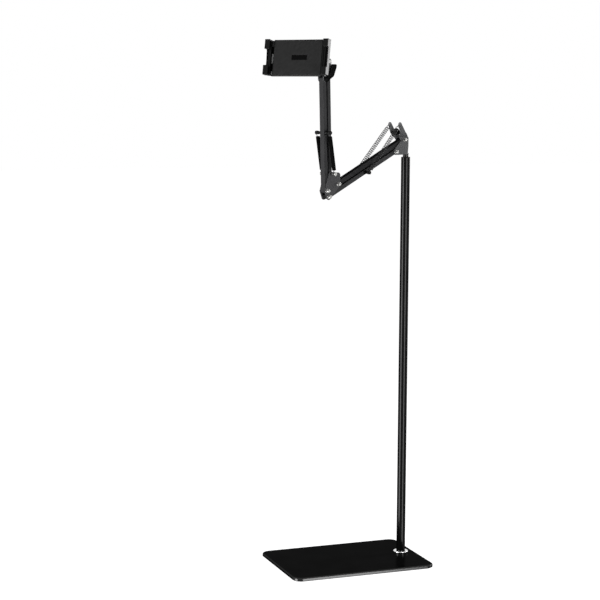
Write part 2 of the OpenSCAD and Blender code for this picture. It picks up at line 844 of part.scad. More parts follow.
// a round bar of the wing, across the arm's forward axis
module wing_bar(b) {
  translate([b[0], out_v + gap + hub_l + b[1], b[2]]) rotate([0, 90, 0])
    cylinder(r = b[3], h = b[4], center = true, $fn = 32);
}
module wing_handle() {
  v0 = out_v + gap;
  v1 = v0 + hub_l;
  color(black) in_arm() on_pivot(HC) difference() {
    union() {
      cross([0, 0], hub_r, v0, v1);
      for (k = [0, 1]) hull() {
        wing_bar(wing_bars[k]);
        wing_bar(wing_bars[k + 1]);
      }
    }
    cross([0, 0], bolt_r + seat, v0 - 1, v1 - hub_cap + 2 * seat);
  }
}
// a cylinder along the arm's forward axis at the ball's height
module along(r, u0, u1, fn = 48) {
  translate([u0, 0, BALL[1]]) rotate([0, 90, 0]) cylinder(r = r, h = u1 - u0, $fn = fn);
}
module ball_stud() {
  color(steel) in_arm() {
    along(stud_r, web_back - stud_tail, web_front + fuse);
    along(stud_r + flange_rim, web_front, web_front + flange_t);
    along(shank_r, web_front + flange_t - fuse, BALL[0] - ball_r - neck_l);
    along(neck_r, BALL[0] - ball_r - neck_l - fuse, BALL[0] - ball_r / 2);
    translate([BALL[0], 0, BALL[1]]) sphere(r = ball_r, $fn = 64);
  }
}
module stud_nut() {
  color(steel) in_arm() difference() {
    along(in_v - gap, web_back - stud_nut_t, web_back, 6);
    along(stud_r + seat, web_back - stud_nut_t - 1, web_back + 1);
  }
}
// a cylinder along the holder's front axis
module out(r, x0, x1, fn = 64) {
  translate([x0, 0, 0]) rotate([0, 90, 0]) cylinder(r = r, h = x1 - x0, $fn = fn);
}
// the cone in which the stud swings
module swing() {
  translate([-swing_l, 0, 0]) rotate([0, 90, 0])
    cylinder(r1 = swing_l * tan(mouth), r2 = 0, h = swing_l, $fn = 64);
}
module ball_liner() {
  n = 24;
  arc = [for (k = [0 : n]) (180 - mouth) * k / n];
  shell = concat([for (q = arc) liner_out * [sin(q), cos(q)]],
    [for (k = [n : -1 : 0]) liner_r * [sin(arc[k]), cos(arc[k])]]);
  color(nylon) in_holder() rotate([0, 90, 0]) rotate_extrude($fn = 64) polygon(shell);
}
module socket() {
  color(plastic) in_holder() difference() {
    union() {
      out(socket_r, -ring_half, shell_back - gap);
      out(spigot_r, shell_back - gap - fuse, shell_in + gap);
    }
    sphere(r = cup_r, $fn = 64);
    swing();
    out(bolt_r + seat, cup_r + socket_floor, shell_in + gap + 1);
  }
}
module socket_screw() {
  color(steel) in_holder() {
    out(spigot_r + screw_rim, shell_in + gap, shell_in + gap + screw_head);
    out(bolt_r, cup_r + socket_floor + lap, shell_in + gap + fuse);
  }
}
module lock_ring() {
  color(plastic) in_holder() difference() {
    out(socket_r + ring_wall, -ring_half, ring_half);
    out(socket_r + run_fit, -ring_half - 1, ring_half + 1);
  }
}

// holder: its shell has a skirt behind the slide rails
module slab(x, y, z) {
  translate([x[0], y[0], z[0]]) cube([x[1] - x[0], y[1] - y[0], z[1] - z[0]]);
}
module holder_shell() {
  color(black) in_holder() difference() {
    union() {
      slab([shell_back, holder_x], [-half_w, half_w], [-half_h, half_h]);
      slab([shell_back, grip_back - gap], [-half_w - skirt_w, -half_w + fuse], [-half_h, half_h]);
    }
    slab([shell_in, ledge + 1], [-half_w + shell_wall, half_w - shell_wall],
      [-half_h + shell_wall, half_h - shell_wall]);
    slab([ledge, holder_x + 1], [-half_w + rim, half_w - rim], [-half_h + rim, half_h - rim]);
    for (r = rails)
      slab([rail_x - gap, rail_x + rail_t + gap], [-half_w - 1, -half_w + shell_wall + 1],
        [r[0] - gap, r[1] + gap]);
    out(spigot_r + run_fit, shell_back - 1, shell_in + 1);
    for (p = post) translate([0, p[0], p[1]]) out(screw_r + seat, shell_back - 1, shell_in + 1, 32);
  }
}
module front_plate() {
  color(paint) in_holder() difference() {
    union() {
      slab([ledge, holder_x], [-plate_w / 2, plate_w / 2], [-plate_h / 2, plate_h / 2]);
      for (p = post) translate([0, p[0], p[1]]) out(post_r, shell_in, ledge + fuse, 32);
    }
    slab([holder_x - badge_d, holder_x + 1], [badge_y - badge_w / 2, badge_y + badge_w / 2],
      [-badge_h / 2, badge_h / 2]);
    for (p = post) translate([0, p[0], p[1]]) out(screw_r + seat, shell_in - 1, shell_in + screw_depth, 32);
  }
}
module badge() {
  w = badge_w / 2 - seat;
  h = badge_h / 2 - seat;
  color(black) in_holder()
    slab([holder_x - badge_d, holder_x - badge_sunk], [badge_y - w, badge_y + w], [-h, h]);
}
module shell_screws() {
  color(steel) in_holder() for (p = post) translate([0, p[0], p[1]]) {
    out(screw_r + shell_head_rim, shell_back - shell_head_t, shell_back, 32);
    out(screw_r, shell_back - fuse, shell_in + screw_depth - screw_spare, 32);
  }
}
// floor, outer wall and hooked lips of a jaw, drawn for the right side with its outer face at y1
module jaw_hooks(y0, y1, h, front) {
  slab([jaw_floor, holder_x], [y0, y1 - jaw_wall / 2], [-half_h, half_h]);
  slab([wall_back, front], [y1 - jaw_wall, y1], [-half_h, half_h]);
  for (z = [half_h - h, -half_h]) {
    slab([wall_back, lip_front], [y1 - jaw_wall, y1], [z, z + h]);
    slab([lip_back, lip_front], [y1 - jaw_wall - lip_w, y1 - lip_root], [z, z + h]);
  }
}
module jaw_pads(y1, h) {
  for (z = [half_h - h + pad_end, -half_h + pad_end])
    slab([holder_x + pad_low, lip_back - pad_high], [y1 - jaw_wall - rubber_t, y1 - jaw_wall],
      [z, z + h - 2 * pad_end]);
}
// half-round bead along a jaw's front face, between -z and z
module bead(y, z) {
  translate([holder_x, y, -z]) cylinder(r = bead_r, h = 2 * z);
}
module right_jaw() {
  y0 = half_w;
  mid = half_h - right_hook_h;
  color(plastic) in_holder() difference() {
    union() {
      slab([shell_back + root_back, holder_x], [y0, y0 + root_w], [-half_h, half_h]);
      bead(y0 + bead_in, half_h);
      bead(y0 + bead_in + bead_pitch, mid);
      jaw_hooks(y0, jaw_right, right_hook_h, lip_back);
    }
    slab([jaw_floor + pocket_floor, lip_back + 1], [y0 + pocket_in, jaw_right - jaw_wall], [-mid, mid]);
  }
}
module right_pads() {
  color(rubber) in_holder() jaw_pads(jaw_right, right_hook_h);
}
module left_jaw() {
  mid = half_h - hook_h;
  color(plastic) in_holder() difference() {
    union() {
      slab([grip_back, holder_x], [jaw_left + grip_in, jaw_face], [-half_h, half_h]);
      mirror([0, 1, 0]) jaw_hooks(-jaw_face, -jaw_left, hook_h, wall_front);
      bead(jaw_face - left_bead_in, mid);
    }
    slab([grip_back - 1, lip_front + 1], [jaw_left - 1, jaw_left + waist],
      [-mid + waist_end, mid - waist_end]);
    for (z = [-mid + waist_end, mid - waist_end])
      translate([0, jaw_left, z]) out(waist, grip_back - 1, lip_front + 1, 32);
    for (r = rails)
      slab([rail_x - seat, rail_x + rail_t + seat], [jaw_face - rail_seat, jaw_face + 1],
        [r[0] - seat, r[1] + seat]);
  }
}
module left_pads() {
  color(rubber) in_holder() mirror([0, 1, 0]) jaw_pads(-jaw_left, hook_h);
}
module slide_rails() {
  color(nylon) in_holder() for (k = [0 : 2])
    slab([rail_x, rail_x + rail_t], [jaw_face - rail_seat, k == 1 ? mid_in : rail_in], rails[k]);
}
module return_spring() {
  l = half_w - shell_wall - mid_in - gap;
  color(steel) in_holder() translate([rail_x + rail_t / 2, mid_in + gap, (rails[1][0] + rails[1][1]) / 2])
    rotate([-90, 0, 0]) difference() {
      cylinder(r = return_r, h = l, $fn = 32);
      translate([0, 0, return_end]) cylinder(r = return_bore, h = l - 2 * return_end, $fn = 32);
    }
}

echo("least self gap of the bare springs", least_gap(lower_wire(1)), least_gap(lower_wire(-1)));
echo("least self gap of the sleeved springs", least_gap(upper_wire(1)), least_gap(upper_wire(-1)));

base_plate();
base_pad();
foot_ring();
base_bolt();
foot_insert();
pole_lower();
joint_plug_lower();
joint_stud();
joint_plug_upper();
pole_upper();
top_bush();
yoke_pin();
yoke_bracket();
yoke_buffer();
yoke_bolts();
yoke_nuts();
lower_spring_near();
lower_spring_far();
lower_bar();
lower_bar_plugs();
lower_peg();
top_bar();
top_bar_plugs();
elbow_plate_near();
elbow_plate_far();
elbow_bolts();
elbow_nuts();
elbow_long_bolt();
upper_spring_near();
upper_spring_far();
spring_sleeves();
front_bar();
front_bar_plugs();
upper_peg();
rear_bar();
rear_bar_plugs();
head_bracket();
head_bolt();
head_nut();
wing_nut();
wing_stud();
wing_handle();
ball_stud();
stud_nut();
ball_liner();
socket();
socket_screw();
lock_ring();
holder_shell();
front_plate();
badge();
shell_screws();
right_jaw();
right_pads();
left_jaw();
left_pads();
slide_rails();
return_spring();
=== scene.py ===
"""Looks of the adjustable tablet floor stand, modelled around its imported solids.

Lengths are metres in the part's own frame: X along the slab, Z up, the floor at 0.
Pieces of the foot, the arm and the holder are drawn in millimetres in their own frames, then set in place.
"""
import json
import math

import bmesh
import bpy
from mathutils import Matrix, Vector


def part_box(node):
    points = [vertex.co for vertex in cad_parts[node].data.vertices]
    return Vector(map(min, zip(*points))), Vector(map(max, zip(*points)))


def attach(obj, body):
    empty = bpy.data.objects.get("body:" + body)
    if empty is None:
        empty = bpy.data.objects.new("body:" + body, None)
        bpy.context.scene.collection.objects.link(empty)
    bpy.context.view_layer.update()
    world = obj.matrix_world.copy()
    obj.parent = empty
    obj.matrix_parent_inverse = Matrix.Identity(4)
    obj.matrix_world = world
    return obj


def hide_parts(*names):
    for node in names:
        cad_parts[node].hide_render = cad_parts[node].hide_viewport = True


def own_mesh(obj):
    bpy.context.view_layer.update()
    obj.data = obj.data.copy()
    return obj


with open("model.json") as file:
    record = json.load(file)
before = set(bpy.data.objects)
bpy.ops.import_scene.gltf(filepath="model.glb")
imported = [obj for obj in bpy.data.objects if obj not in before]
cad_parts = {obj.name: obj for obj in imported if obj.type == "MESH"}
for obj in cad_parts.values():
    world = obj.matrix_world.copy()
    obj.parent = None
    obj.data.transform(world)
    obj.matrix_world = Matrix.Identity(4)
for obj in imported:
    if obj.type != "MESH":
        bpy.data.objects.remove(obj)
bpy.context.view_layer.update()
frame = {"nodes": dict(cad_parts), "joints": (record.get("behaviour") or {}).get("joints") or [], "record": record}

MM = 0.001
FULL_TURN = 2 * math.pi
QUARTER_TURN = math.pi / 2
X_WAY = Vector((1, 0, 0))
Y_WAY = Vector((0, 1, 0))
Z_WAY = Vector((0, 0, 1))
JOINTS = {joint["name"]: joint for joint in frame["joints"]}
BODY_OF = {node: body for body, nodes in frame["record"]["behaviour"]["bodies"].items() for node in nodes}
SLOT_OF = {row["node"]: row["material_slot"] for row in frame["record"]["subparts"]}


def pivot(joint):
    return Vector(JOINTS[joint]["pos_m"])


def axis_of(joint):
    return Vector(JOINTS[joint]["axis"])


def frame_at(origin, x_axis, y_axis):
    """Turns millimetres along the two axes and their cross product into the part's frame."""
    place = Matrix((x_axis, y_axis, x_axis.cross(y_axis))).transposed().to_4x4() @ Matrix.Scale(MM, 4)
    place.translation = origin
    return place


SIDE = axis_of("upper_arm_lean")
POLE_FOOT = Vector((pivot("swivel").x, pivot("swivel").y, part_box("base_plate")[1].z))
FOOT = frame_at(POLE_FOOT, X_WAY, Y_WAY)
ARM = frame_at(pivot("swivel"), SIDE.cross(Z_WAY), SIDE)
HOLDER = frame_at(pivot("ball_pan"), axis_of("holder_roll"), axis_of("ball_tilt"))


def in_arm(point):
    """A point of the part in millimetres of the arm: forward, to the near side and up."""
    return ARM.inverted() @ Vector(point)


def middle(node):
    low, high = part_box(node)
    return (Vector(low) + Vector(high)) / 2


# Finishes

GRAIN_DETAIL = 3
PATCH_DETAIL = 2
PATCH_SPAN = (0.3, 0.7)
MARK_DETAIL = 6
MARK_SPAN = (0.62, 0.8)
GLOSS_SWING = 0.15
BUMP_STRENGTH = 0.5
# Sockets of a Mix node that mixes colours
MIX_FACTOR, MIX_LOW, MIX_HIGH, MIX_RESULT = 0, 6, 7, 2


def new_group(name, inputs, outputs):
    """A shader node group with a Vector input, the named number inputs and the named number outputs."""
    group = bpy.data.node_groups.new(name, "ShaderNodeTree")
    group.interface.new_socket(name="Vector", in_out="INPUT", socket_type="NodeSocketVector")
    for label, value in inputs.items():
        socket = group.interface.new_socket(name=label, in_out="INPUT", socket_type="NodeSocketFloat")
        socket.default_value = value
    for label in outputs:
        group.interface.new_socket(name=label, in_out="OUTPUT", socket_type="NodeSocketFloat")
    return group, group.nodes.new("NodeGroupInput"), group.nodes.new("NodeGroupOutput")


def noise_of(group, entry, size, detail):
    """Noise whose grains are as large as the group's named input, in metres."""
    scale = group.nodes.new("ShaderNodeMath")
    scale.operation = "DIVIDE"
    scale.inputs[0].default_value = 1.0
    group.links.new(entry.outputs[size], scale.inputs[1])
    noise = group.nodes.new("ShaderNodeTexNoise")
    noise.inputs["Detail"].default_value = detail
    group.links.new(entry.outputs["Vector"], noise.inputs["Vector"])
    group.links.new(scale.outputs[0], noise.inputs["Scale"])
    return noise.outputs[0]


def stretched(nodes, links, value, low, high, to_low=0.0, to_high=1.0):
    """A value whose span from low to high is brought to another span."""
    spread = nodes.new("ShaderNodeMapRange")
    for label, number in (("From Min", low), ("From Max", high), ("To Min", to_low), ("To Max", to_high)):
        spread.inputs[label].default_value = number
    links.new(value, spread.inputs["Value"])
    return spread.outputs[0]


def surface_group():
    """Fine grain for the bump, broad patches for tone and gloss, and sparse handling marks."""
    group, entry, leave = new_group("surface", {"Grain": 0.0005, "Patch": 0.03, "Mark": 0.004},
                                    ("Height", "Patches", "Marks"))
    links = group.links
    links.new(noise_of(group, entry, "Grain", GRAIN_DETAIL), leave.inputs["Height"])
    patches = noise_of(group, entry, "Patch", PATCH_DETAIL)
    links.new(stretched(group.nodes, links, patches, *PATCH_SPAN), leave.inputs["Patches"])
    marks = noise_of(group, entry, "Mark", MARK_DETAIL)
    links.new(stretched(group.nodes, links, marks, *MARK_SPAN), leave.inputs["Marks"])
    return group


SURFACE = surface_group()


def tinted(nodes, links, factor, low, high):
    """A mix of two colours."""
    mix = nodes.new("ShaderNodeMix")
    mix.data_type = "RGBA"
    mix.inputs[MIX_LOW].default_value = (*low, 1)
    mix.inputs[MIX_HIGH].default_value = (*high, 1)
    links.new(factor, mix.inputs[MIX_FACTOR])
    return mix


def finish(name, colour, rough, metallic=0.0, specular=0.0, coat=0.0, coat_edge=0.0, coat_rough=0.1,
           fade=(0.35, 0.65), grain=0.5, depth=0.004, patch=30, spread=0.12, mark=4, worn=1.2, streak=None):
    """A finish with grain, tone patches and handling marks; sizes are in millimetres.

    coat is the gloss where the surface faces the eye and coat_edge the gloss where it is seen edge on;
    fade is where the one gives way to the other, from 0 facing to 1 edge on.
    spread is how far the patches stray from the colour, and worn the tone of a handling mark against it.
    streak is a turn, and how long the grain is drawn along each of the turned axes.
    """
    material = bpy.data.materials.new(name)
    material.use_nodes = True
    nodes, links = material.node_tree.nodes, material.node_tree.links
    shader = nodes["Principled BSDF"]
    shader.inputs["Metallic"].default_value = metallic
    shader.inputs["Specular IOR Level"].default_value = specular
    place = nodes.new("ShaderNodeTexCoord").outputs["Object"]
    if streak:
        turn = nodes.new("ShaderNodeMapping")
        turn.vector_type = "TEXTURE"
        turn.inputs["Rotation"].default_value = streak[0].to_euler()
        turn.inputs["Scale"].default_value = streak[1]
        links.new(place, turn.inputs["Vector"])
        place = turn.outputs[0]
    surface = nodes.new("ShaderNodeGroup")
    surface.node_tree = SURFACE
    links.new(place, surface.inputs["Vector"])
    surface.inputs["Grain"].default_value = grain * MM
    surface.inputs["Patch"].default_value = patch * MM
    surface.inputs["Mark"].default_value = mark * MM
    tone = tinted(nodes, links, surface.outputs["Patches"],
                  [c * (1 - spread) for c in colour], [c * (1 + spread) for c in colour])
    wear = tinted(nodes, links, surface.outputs["Marks"], colour, [min(c * worn, 1) for c in colour])
    links.new(tone.outputs[MIX_RESULT], wear.inputs[MIX_LOW])
    links.new(wear.outputs[MIX_RESULT], shader.inputs["Base Color"])
    gloss = stretched(nodes, links, surface.outputs["Patches"], 0, 1,
                      rough * (1 - GLOSS_SWING), rough * (1 + GLOSS_SWING))
    links.new(gloss, shader.inputs["Roughness"])
    bump = nodes.new("ShaderNodeBump")
    bump.inputs["Strength"].default_value = BUMP_STRENGTH
    bump.inputs["Distance"].default_value = depth * MM
    links.new(surface.outputs["Height"], bump.inputs["Height"])
    links.new(bump.outputs[0], shader.inputs["Normal"])
    if coat:
        shader.inputs["Coat Roughness"].default_value = coat_rough
        facing = nodes.new("ShaderNodeLayerWeight")
        links.new(stretched(nodes, links, facing.outputs["Facing"], *fade, coat, coat_edge),
                  shader.inputs["Coat Weight"])
    return material


def grey(level):
    return (level, level, level)


PIN_STREAK = (Matrix.Identity(3), (1, 1, 8))
PLATE_STREAK = (HOLDER.to_3x3().normalized() @ Matrix.Rotation(math.radians(45), 3, "X"), (1, 9, 1))
FINISH = {
    "base_paint": finish("satin_black_slab", grey(0.0035), 0.4, coat=0.5, coat_edge=0.02, coat_rough=0.2,
                         grain=0.4, patch=60, spread=0.2),
    "black_rubber": finish("black_rubber", grey(0.0035), 0.75, grain=0.3, depth=0.03),
    "chrome": finish("foot_chrome", grey(0.7), 0.1, metallic=1.0, specular=0.5, grain=2, depth=0.002,
                     spread=0.04, worn=0.8),
    "pin_steel": finish("dark_pin_steel", grey(0.015), 0.25, metallic=1.0, specular=0.5, grain=0.3,
                        streak=PIN_STREAK),
    "zinc_steel": finish("bright_zinc", (0.34, 0.34, 0.33), 0.3, metallic=1.0, specular=0.5, grain=0.25,
                         patch=4, spread=0.2, worn=0.6),
    "plug_steel": finish("plug_steel", grey(0.3), 0.4, metallic=1.0, specular=0.5),
    "pole_paint": finish("gloss_black_pole", grey(0.0015), 0.35, coat=0.17, coat_rough=0.13, grain=0.8,
                         depth=0.002, patch=40),
    "black_nylon": finish("black_nylon", grey(0.005), 0.45, coat=0.2, coat_rough=0.3, grain=0.3),
    "sheet_paint": finish("grey_sheet_paint", (0.063, 0.064, 0.066), 0.45, coat=0.25, coat_rough=0.3,
                          grain=0.45, patch=20, spread=0.08),
    # A darker copy of the sheet paint, as painted shade on the elbow plates, which carry the same paint as the
    # yoke.
    "elbow_painted_shade": finish("sheet_paint_with_painted_shade", (0.048, 0.048, 0.05), 0.45, coat=0.2, coat_rough=0.3,
                          grain=0.45, patch=20, spread=0.08),
    "bar_paint": finish("charcoal_bar_paint", (0.031, 0.031, 0.032), 0.5, coat=0.1, coat_rough=0.3,
                        grain=0.45, patch=35, spread=0.08),
    # A darker copy of the bar paint, as painted shade on the top bar, which carries the same paint as the other
    # bars.
    "top_bar_painted_shade": finish("bar_paint_with_painted_shade", (0.02, 0.02, 0.021), 0.5, coat=0.08, coat_rough=0.3,
                            grain=0.45, patch=35, spread=0.08),
    "spring_steel": finish("dark_spring_wire", grey(0.01), 0.4, specular=0.2, grain=0.3, patch=6, spread=0.2),
    "wing_plastic": finish("wing_plastic", grey(0.003), 0.42, coat=0.05, coat_rough=0.25, grain=0.35,
                           depth=0.008),
    "ball_chrome": finish("ball_chrome", grey(0.6), 0.12, metallic=1.0, specular=0.5, grain=1, depth=0.002,
                          worn=0.7),
    "liner_nylon": finish("liner_nylon", (0.55, 0.54, 0.5), 0.5, specular=0.3, depth=0.01),
    "holder_plastic": finish("holder_plastic", grey(0.004), 0.45, coat=0.2, coat_edge=0.1, coat_rough=0.2,
                             fade=(0.7, 0.9), grain=0.35, depth=0.006),
    "plate_plastic": finish("plate_plastic", grey(0.016), 0.5, coat=0.12, coat_rough=0.35, grain=0.5,
                            depth=0.03, patch=1.2, spread=0.25, worn=1.1, streak=PLATE_STREAK),
    "badge_gloss": finish("badge_gloss", grey(0.002), 0.2, coat=0.06, coat_rough=0.1, grain=2, depth=0.002),
    "rail_nylon": finish("rail_nylon", grey(0.13), 0.5, coat=0.15, coat_rough=0.3, grain=0.4),
}
# Nodes that take a darker copy of their paint, as painted shade, and the copy that each takes.
PAINTED_SHADE = {"elbow_plate_near": "elbow_painted_shade", "elbow_plate_far": "elbow_painted_shade", "top_bar": "top_bar_painted_shade"}


def paint_of(slot, *nodes):
    """The finish of a slot, or the darker copy of it with painted shade that a node takes instead."""
    return FINISH[next((PAINTED_SHADE[node] for node in nodes if node in PAINTED_SHADE), slot)]


# Modelling by hand

SMOOTH_ANGLE = math.radians(40)
HARD_ANGLE = math.radians(32)
FLAT_ANGLE = math.radians(0.5)
LATHE_MERGE = 0.0001
SOLID_MERGE = 0.000002
WIRE_ROUNDNESS = 2


def select_only(piece):
    bpy.ops.object.select_all(action="DESELECT")
    piece.select_set(True)
    bpy.context.view_layer.objects.active = piece


def place_by(piece, place):
    """Moves a piece, and keeps its place in its mesh."""
    select_only(piece)
    piece.matrix_world = place
    bpy.ops.object.transform_apply(location=True, rotation=True, scale=True)


def round_edges(piece, width, segments, wanted):
    """Bevels the edges that a test picks."""
    select_only(piece)
    bpy.ops.object.mode_set(mode="EDIT")
    bpy.ops.mesh.select_mode(type="EDGE")
    bpy.ops.mesh.select_all(action="DESELECT")
    mesh = bmesh.from_edit_mesh(piece.data)
    for edge in mesh.edges:
        edge.select_set(wanted(edge))
    bmesh.update_edit_mesh(piece.data)
    bpy.ops.mesh.bevel(offset=width, segments=segments, affect="EDGES")
    bpy.ops.object.mode_set(mode="OBJECT")


def block(name, low, high):
    """A block between two corners, in millimetres of the frame that settle is given."""
    bpy.ops.object.select_all(action="DESELECT")
    bpy.ops.mesh.primitive_cube_add(size=1, location=[(a + b) / 2 for a, b in zip(low, high)])
    piece = bpy.context.object
    piece.name = name
    piece.scale = [b - a for a, b in zip(low, high)]
    bpy.ops.object.transform_apply(location=True, rotation=True, scale=True)
    return piece


def turned(name, outline, steps):
    """A lathe piece about Z, from a closed outline of radii and heights in millimetres."""
    bpy.ops.object.select_all(action="DESELECT")
    bpy.ops.mesh.primitive_circle_add(vertices=len(outline), radius=1, fill_type="NOTHING")
    piece = bpy.context.object
    piece.name = name
    for point, (radius, height) in zip(piece.data.vertices, outline):
        point.co = (radius, 0, height)
    bpy.ops.object.mode_set(mode="EDIT")
    bpy.ops.mesh.select_all(action="SELECT")
    bpy.ops.mesh.spin(steps=steps, angle=FULL_TURN, center=(0, 0, 0), axis=Z_WAY)
    bpy.ops.mesh.select_all(action="SELECT")
    bpy.ops.mesh.remove_doubles(threshold=LATHE_MERGE)
    bpy.ops.mesh.normals_make_consistent(inside=False)
    bpy.ops.object.mode_set(mode="OBJECT")
    return piece


def bent_wire(name, points, radius):
    """A round wire along points in millimetres, as a closed mesh."""
    path = bpy.data.curves.new(name, "CURVE")
    path.dimensions = "3D"
    path.bevel_depth = radius
    path.bevel_resolution = WIRE_ROUNDNESS
    path.use_fill_caps = True
    run = path.splines.new("POLY")
    run.points.add(len(points) - 1)
    for point, at in zip(run.points, points):
        point.co = (*at, 1)
    piece = bpy.data.objects.new(name, path)
    bpy.context.scene.collection.objects.link(piece)
    select_only(piece)
    bpy.ops.object.convert(target="MESH")
    return bpy.context.object


def merged(name, pieces):
    """Several pieces as one mesh."""
    select_only(pieces[0])
    for piece in pieces:
        piece.select_set(True)
    bpy.ops.object.join()
    pieces[0].name = name
    return pieces[0]


def settle(piece, place, slot, body, *nodes):
    """Sets a finished piece in place, with its finish, its body and the solids that it stands for."""
    place_by(piece, place)
    bpy.ops.object.shade_smooth_by_angle(angle=SMOOTH_ANGLE)
    piece.modifiers.new("flat_faces", "WEIGHTED_NORMAL").keep_sharp = True
    bpy.ops.object.modifier_apply(modifier="flat_faces")
    piece.data.materials.clear()
    piece.data.materials.append(paint_of(slot, *nodes))
    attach(piece, body)
    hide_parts(*nodes)
    return piece


def settle_solid(piece, node):
    """Sets a reworked copy of a solid where the solid is."""
    settle(piece, Matrix.Identity(4), SLOT_OF[node], BODY_OF[node], node)


def solid_copy(node):
    """A merged copy of a solid, with its flat faces whole again."""
    piece = bpy.data.objects.new(node + "_eased", frame["nodes"][node].data.copy())
    bpy.context.scene.collection.objects.link(piece)
    select_only(piece)
    bpy.ops.object.mode_set(mode="EDIT")
    bpy.ops.mesh.select_all(action="SELECT")
    bpy.ops.mesh.remove_doubles(threshold=SOLID_MERGE)
    bpy.ops.mesh.dissolve_limited(angle_limit=FLAT_ANGLE)
    bpy.ops.object.mode_set(mode="OBJECT")
    return piece


# Solids that only have their hard edges rounded, as pressed, moulded or turned pieces have them:
# the width of the rounding in millimetres, its segments, and the nodes
EASED = (
    (1.1, 3, ("wing_handle",)),
    (0.9, 3, ("base_plate",)),
    (0.8, 3, ("yoke_buffer",)),
    (0.55, 3, ("right_jaw", "left_jaw")),
    (0.5, 2, ("socket", "holder_shell")),
    (0.45, 2, ("elbow_plate_near", "elbow_plate_far", "head_bracket")),
    (0.4, 2, ("base_pad", "base_bolt", "top_bush", "yoke_pin", "yoke_bracket", "lower_bar_plugs",
              "top_bar_plugs", "front_bar_plugs", "rear_bar_plugs", "ball_stud", "front_plate",
              "slide_rails")),
    (0.3, 2, ("yoke_bolts", "yoke_nuts", "elbow_bolts", "elbow_nuts", "elbow_long_bolt", "head_bolt",
              "head_nut", "wing_nut", "wing_stud", "stud_nut", "lower_peg", "upper_peg", "shell_screws")),
    (0.25, 2, ("right_pads", "left_pads")),
    (0.2, 2, ("ball_liner",)),
    (0.12, 2, ("badge",)),
)


def add_eased(node, width, segments):
    piece = solid_copy(node)
    select_only(piece)
    soften = piece.modifiers.new("ease", "BEVEL")
    soften.width = width * MM
    soften.segments = segments
    soften.limit_method = "ANGLE"
    soften.angle_limit = HARD_ANGLE
    soften.use_clamp_overlap = False
    bpy.ops.object.modifier_apply(modifier="ease")
    settle_solid(piece, node)


# Pole and foot ring, in millimetres

TUBE_R = 11.0
TUBE_WALL = 1.5
TUBE_L = 500.0
# The broken edge at a tube's end: how far in from the outside, and how far along
TUBE_EDGE = ((0.35, 0), (0.1, 0.12), (0, 0.4))
RING_R = 18.5
RING_H = 6.0
RING_SEAT = 0.1
RING_CHAMFER = 0.8
DOME_R = 1.6
DOME_STEPS = 6
POLE_STEPS = 96


def add_foot_ring():
    bore = TUBE_R + RING_SEAT
    turns = [QUARTER_TURN * k / DOME_STEPS for k in range(DOME_STEPS + 1)]
    dome = [(RING_R - DOME_R + DOME_R * math.cos(a), RING_H - DOME_R + DOME_R * math.sin(a)) for a in turns]
    inside = [(bore + RING_CHAMFER, RING_H), (bore, RING_H - RING_CHAMFER)]
    ring = turned("domed_foot_ring", [(bore, 0), (RING_R, 0), *dome, *inside], POLE_STEPS)
    settle(ring, FOOT, "chrome", "stand", "foot_ring")


def add_tube(node, start):
    inner, top = TUBE_R - TUBE_WALL, start + TUBE_L
    low_end = [(TUBE_R - inward, start + along) for inward, along in TUBE_EDGE]
    high_end = [(TUBE_R - inward, top - along) for inward, along in reversed(TUBE_EDGE)]
    tube = turned(node + "_tube", [(inner, start), *low_end, *high_end, (inner, top)], POLE_STEPS)
    settle(tube, FOOT, "pole_paint", "stand", node)


# Springs and sleeves, in millimetres of the arm

WIRE_R = 0.8
EAR_SIDE = 16.0
GROOVE_SIDE = 19.5
EAR_LOOP = 3.8
PEG_LOOP = 3.95
BOLT_LOOP = 3.65
HOOK_RUN = 7.0
HOOK_FROM = 340
HOOK_STEP = 10
HOOK_POINTS = 26
LEAD = 1.0
LAP_POINTS = 3
TURN_POINTS = 24
COIL_R = 4.4
COILS = 26
INNER_COIL_R = 2.0
INNER_COILS = 10
BOLT_TURNS = 3
PEG_TURNS = 6.5
SLEEVE_R = 4.75
SLEEVE_BORE = 4.0
SLEEVE_END = 9.0
SLEEVE_LIP = 0.45
SLEEVE_BREAK = 0.13
SLEEVE_STEPS = 48
EAR = in_arm(pivot("lower_spring_swing"))
LOWER_PEG = in_arm(middle("lower_peg"))
UPPER_PEG = in_arm(pivot("upper_spring_swing"))
LONG_BOLT = in_arm(pivot("sleeve_swing"))


def at_side(point, side):
    return Vector((point.x, side, point.z))


def square_to(direction, along):
    """The direction's share that is square to a line, at unit length."""
    return (direction - along * direction.dot(along)).normalized()


def hook_points(centre, along, out, radius):
    """An open hook round a pin, from its tip to where it runs into the coil."""
    turns = [math.radians(HOOK_FROM - HOOK_STEP * k) for k in range(HOOK_POINTS)]
    return [centre + radius * (math.cos(a) * along + math.sin(a) * out) for a in turns]


def coil_points(start, along, out, radius, first, last, turns):
    """A coil on the axis through start, between two distances along it."""
    over = along.cross(out)
    count = round(turns * TURN_POINTS)
    points = []
    for k in range(count + 1):
        a = FULL_TURN * turns * k / count
        s = first + (last - first) * k / count
        points.append(start + along * s + radius * (math.cos(a) * out + math.sin(a) * over))
    return points


